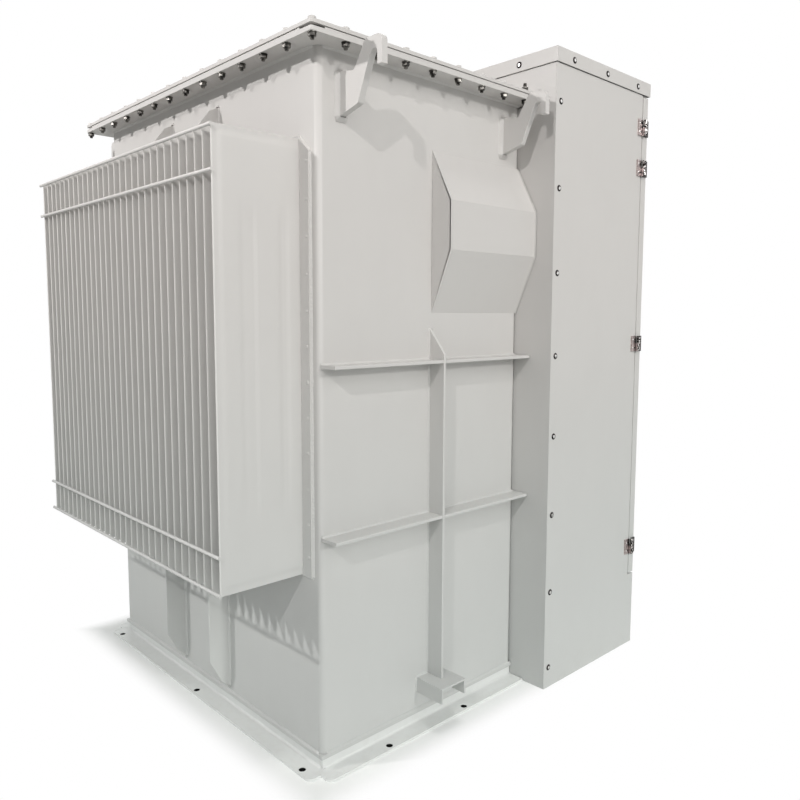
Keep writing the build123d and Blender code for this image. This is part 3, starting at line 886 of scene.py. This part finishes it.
def addPlate(shape, xs, zs, near, far):  # flat piece on a long face of the cabinet
    (x0, x1), (z0, z1) = xs, zs
    outline = [(x0, near, z0), (x1, near, z0), (x1, near, z1), (x0, near, z1)]
    addPrism(shape, outline, (0, far - near, 0))


def addHinge(shapes, side, low, high):
    fixedSleeves, fixedScrews, shadeStrips, wings, sleeves = shapes
    pinX, pinY = hingeSet["pin"]
    out, mid = (0, side, 0), (low.z + high.z) / 2
    radius, split, cut = hingeSet["sleeve"], hingeSet["split"], hingeSet["rim"]
    tall = high.z - mid - split
    rim = [(radius - cut, 0), (radius, cut), (radius, tall - cut), (radius - cut, tall)]
    for shape, z in ((fixedSleeves, low.z), (sleeves, mid + split)):
        addTurned(shape, (pinX, side * pinY, z), up, rim, hingeSet["steps"][0])
    zs = low.z - hingeSet["proud"], high.z + hingeSet["proud"]
    near, far = side * (cabinetHalf + hingeSet["gap"]), side * (cabinetHalf + hingeSet["face"])
    addPlate(wings, [pinX + x for x in hingeSet["wingX"]], zs, near, far)
    start, wide = hingeSet["shadeStrip"]
    x1 = pinX - start
    addPlate(shadeStrips, (x1 - wide, x1), zs, near, far)
    for z in (mid - hingeSet["screwZ"], mid + hingeSet["screwZ"]):
        addScrew(wings, (x1 - hingeSet["screwX"], far, z), out)
        foot = (low.x + hingeSet["screwX"], side * (cabinetHalf + hingeSet["fixedFace"]), z)
        addScrew(fixedScrews, foot, out)


def makeHinges():
    fixed = fixedSleeves, fixedScrews, shadeStrips = bmesh.new(), bmesh.new(), bmesh.new()
    for side, body in leafBody.items():
        word = words[side]
        wings, sleeves = bmesh.new(), bmesh.new()
        for number in range(1, hingeSet["count"] + 1):
            addHinge((*fixed, wings, sleeves), side, *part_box(f"hinge_{word}_{number}"))
        holder = newPiece(f"{word}HingeWings", wings, darkShadeAndReflectionSteel, body)
        roundEdges(holder, *hingeSet["edge"])
        newPiece(f"{word}HingeSleeves", sleeves, sleeveGlintSteel, body)
    newPiece("fixedHingeSleeves", fixedSleeves, sleeveGlintSteel)
    newPiece("fixedHingeScrews", fixedScrews, domeSteel)
    newPiece("fixedHingeShadeStrips", shadeStrips, darkShadeAndReflectionSteel)


# Doors: the bend of the turned-in edge stands out a little and catches the light
bendSet = {
    "from": 0.0026,
    "short": 0.001,
    "profile": (  # run along the face and rise out of it
        (0.0, -0.0012),
        (0.0, 0.00033),
        (0.0008, 0.00088),
        (0.002, 0.0011),
        (0.0051, 0.0011),
        (0.0085, -0.0004),
    ),
}


def makeDoorBends():
    x, short = hingeSet["pin"][0] + bendSet["from"], bendSet["short"]
    for side, body in leafBody.items():
        shape = bmesh.new()
        low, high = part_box(f"door_{words[side]}")
        ways, z = bendSet["profile"], low.z + short
        outline = [(x + run, side * (cabinetHalf + rise), z) for run, rise in ways]
        addPrism(shape, outline, (0, 0, high.z - low.z - 2 * short))
        newPiece(f"{words[side]}DoorBend", shape, tankPaint, body, smooth=50)


# The door frame's lip, seen in the gap beside each door
lipSet = {"from": -0.0024, "wide": 0.0040, "sunk": 0.0016, "thick": 0.002}


def makeDoorLips():
    shape = bmesh.new()
    x0 = hingeSet["pin"][0] + lipSet["from"]
    for side in (-1, 1):
        low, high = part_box(f"door_{words[side]}")
        near = side * (cabinetHalf - lipSet["sunk"])
        far = near - side * lipSet["thick"]
        addPlate(shape, (x0, x0 + lipSet["wide"]), (low.z, high.z), near, far)
    newPiece("doorFrameLips", shape, tankPaint)


makeDoorLips()
makeHinges()
makeDoorBends()
print("hinges and door bends")

# Feet: the mitred corners are welded shut
mitreSet = {"thick": 0.008, "gap": 0.001, "end": 0.020, "proud": 0.0004, "clear": 0.0005}


def makeFootCorners():
    shape = bmesh.new()
    x, thick, gap, end = wallLow.x, mitreSet["thick"], mitreSet["gap"], mitreSet["end"]
    clear = mitreSet["clear"]
    for side in (-1, 1):
        y = side * wallHigh.y
        strip = [
            (x + thick + gap, y - side * thick),
            (x - end + gap, y + side * end),
            (x - end, y + side * (end - gap)),
            (x + thick, y - side * (thick + gap)),
        ]
        block = [
            (x + clear, y - side * clear),
            (x + clear, y - side * (thick + gap)),
            (x + thick, y - side * (thick + gap)),
            (x + thick + gap, y - side * thick),
            (x + thick + gap, y - side * clear),
        ]
        for outline, top in ((strip, thick + mitreSet["proud"]), (block, ledgeLow.z - clear)):
            addPrism(shape, [(*point, clear) for point in outline], (0, 0, top))
    newPiece("footCorners", shape, basePaint)


makeFootCorners()
print("feet")

# Camera, floor and light
cameraSet = {
    "eye": (-1.85944, -2.34851, 1.34402),
    "turn": (84.4718, -0.1367, -43.0709),  # degrees
    "lens": 33.468,
    "shift": (0.00279, -0.01595),
    "far": 60,  # metres that it sees
}
lightSet = {
    "suns": {  # soft lights: travel, power, angle in degrees, colour
        "overheadLight": ((0.05, 0.1, -1.0), 0.46, 12, "mild"),
        "frontLight": ((-0.04, 1.0, -0.38), 0.68, 4, "mild"),
        "fillLight": ((0.3, 1.0, -0.45), 0.87, 40, "mild"),
        "rearLight": ((-0.8, -0.75, -0.45), 0.85, 45, "cool"),
    },
    "spots": {  # aim, travel, distance, radius lit there, power
        "hallLight": ((-0.4, -0.55, 2.1), (5.2, 3.15, -2.9), 6.73, 2.6, 570),
        "crossLight": ((-0.5, 0.1, 2.1), (3.6, -1.35, -1.4), 4.10, 3.3, 415),
    },
    "spotSize": 0.06,
    "warm": (1.0, 0.975, 0.962),
    "mild": (1.0, 0.992, 0.966),
    "cool": (0.975, 1.0, 0.985),
    "panel": ((0.2, -3.2, 3.4), (0.0, -0.7, 1.9), 1.2, 10.6),  # place, aim, size, power
    "sky": 0.175,
    "skyColour": (0.97, 0.99, 1.0),
}
white = (1, 1, 1)


def makeCamera():
    camera = bpy.data.cameras.new("camera")
    camera.lens = cameraSet["lens"]
    camera.shift_x, camera.shift_y = cameraSet["shift"]
    camera.clip_end = cameraSet["far"]
    holder = bpy.data.objects.new("camera", camera)
    holder.location = cameraSet["eye"]
    holder.rotation_euler = [math.radians(a) for a in cameraSet["turn"]]
    bpy.context.scene.collection.objects.link(holder)
    bpy.context.scene.camera = holder


def addLamp(name, kind, place, travel, power, colour):
    lamp = bpy.data.lights.new(name, kind)
    lamp.energy = power
    lamp.color = colour
    holder = bpy.data.objects.new(name, lamp)
    holder.location = place
    holder.rotation_mode = "QUATERNION"
    holder.rotation_quaternion = Vector(travel).to_track_quat("-Z", "Y")
    bpy.context.scene.collection.objects.link(holder)
    return lamp


def makeLamps():
    for name, (travel, power, angle, colour) in lightSet["suns"].items():
        lamp = addLamp(name, "SUN", (0, 0, 5), travel, power, lightSet[colour])
        lamp.angle = math.radians(angle)
    for name, (aim, travel, far, radius, power) in lightSet["spots"].items():
        place = Vector(aim) - Vector(travel).normalized() * far
        lamp = addLamp(name, "SPOT", place, travel, power, lightSet["warm"])
        lamp.spot_size = 2 * math.atan(radius / far)
        lamp.spot_blend = 1.0
        lamp.shadow_soft_size = lightSet["spotSize"]
    place, aim, size, power = lightSet["panel"]
    travel = Vector(aim) - Vector(place)
    lamp = addLamp("panelLight", "AREA", place, travel, power, lightSet["warm"])
    lamp.shape = "DISK"
    lamp.size = size


# The world is a soft sky for the light and plain white where it is seen
def makeWorld():
    world = Look(bpy.data.worlds.new("studio"))
    camera, glossy, clear = [
        world.add("ShaderNodeLightPath", output=name)
        for name in ("Is Camera Ray", "Is Glossy Ray", "Is Transmission Ray")
    ]
    seen = world.maths("MAXIMUM", world.maths("MAXIMUM", camera, glossy), clear)
    sockets = {"Color": tint(lightSet["skyColour"]), "Strength": lightSet["sky"]}
    soft = world.add("ShaderNodeBackground", None, sockets)
    plain = world.add("ShaderNodeBackground", None, {"Color": tint(white), "Strength": 1.0})
    mixed = world.add("ShaderNodeMixShader", None, {0: seen, 1: soft, 2: plain})
    world.put(world.tree.nodes["World Output"].inputs["Surface"], mixed)
    bpy.context.scene.world = world.owner


floorSet = {
    "colour": (0.92, 0.94, 0.93),
    "shade": 0.985,
    "grain": (35.0, 4.0),
    "size": 14,
    "feet": (0.68, 0.76),  # half length and width over the feet
    "fade": (-0.02, 0.10),  # distance from the feet over which the floor turns white
    # colour of the painted shade seen through the foot holes
    "holeShadeColour": (0.02, 0.02, 0.02),
    "holeGrain": 90.0,
    "holeRadius": 0.0108,
    "holeHeights": (0.0002, 0.0065),
    "holeSteps": 24,
}


def newStage(name, shape, finish):
    mesh = bpy.data.meshes.new(name)
    shape.to_mesh(mesh)
    shape.free()
    mesh.materials.append(finish)
    holder = bpy.data.objects.new(name, mesh)
    bpy.context.scene.collection.objects.link(holder)
    return holder


def makeFootHoleShades():  # painted shade: dark discs in the foot holes stand in for the shade seen through them
    shape = bmesh.new()
    profile = [(floorSet["holeRadius"], height) for height in floorSet["holeHeights"]]
    for mount in frame["record"]["mounts"]:
        if "r_mm" in mount["dims"] or "hole_r_mm" in mount["dims"]:
            middle, dims = mount["pos_m"], mount["dims"]
            halfX, halfY = [dims.get(f"spacing_{axis}_mm", 0.0) / 2000 for axis in "xy"]
            xs = {middle[0] - halfX, middle[0] + halfX}
            ys = {middle[1] - halfY, middle[1] + halfY}
            for x, y in sorted((x, y) for x in xs for y in ys):
                addTurned(shape, (x, y, 0.0), up, profile, floorSet["holeSteps"])
    look = newFinish("holeShade", Roughness=1.0, Specular_IOR_Level=0.0)
    grain = look.noise(look.place, floorSet["holeGrain"])
    look.feed("Base Color", look.mix(grain, tint(floorSet["holeShadeColour"]), (0, 0, 0, 1)))
    newStage("footHoleShades", shape, look.owner)


def makeFloor():
    shape = bmesh.new()
    bmesh.ops.create_grid(shape, x_segments=4, y_segments=4, size=floorSet["size"])
    look = newFinish("floorPaper", Roughness=0.9, Specular_IOR_Level=0.1)
    grain = look.noise(look.place, *floorSet["grain"])
    colour = floorSet["colour"]
    look.feed("Base Color", look.mix(grain, tint(colour, floorSet["shade"]), tint(colour)))
    away = []
    for axis, half in enumerate(floorSet["feet"]):
        away.append(look.maths("ABSOLUTE", look.along(axis), 0.0) - half)
    fade = look.span(look.maths("MAXIMUM", *away), *floorSet["fade"])
    seen = look.add("ShaderNodeLightPath", output="Is Camera Ray")
    glow = look.add("ShaderNodeEmission", None, {"Color": tint(white), "Strength": 1.0})
    shader = Wire(look, look.shader.outputs[0])
    mixed = look.add("ShaderNodeMixShader", None, {0: seen * fade, 1: shader, 2: glow})
    look.put(look.tree.nodes["Material Output"].inputs["Surface"], mixed)
    newStage("floor", shape, look.owner)
    makeFootHoleShades()


makeCamera()
makeLamps()
makeWorld()
makeFloor()
bpy.context.scene.view_settings.view_transform = "Standard"
print("camera, floor and light")
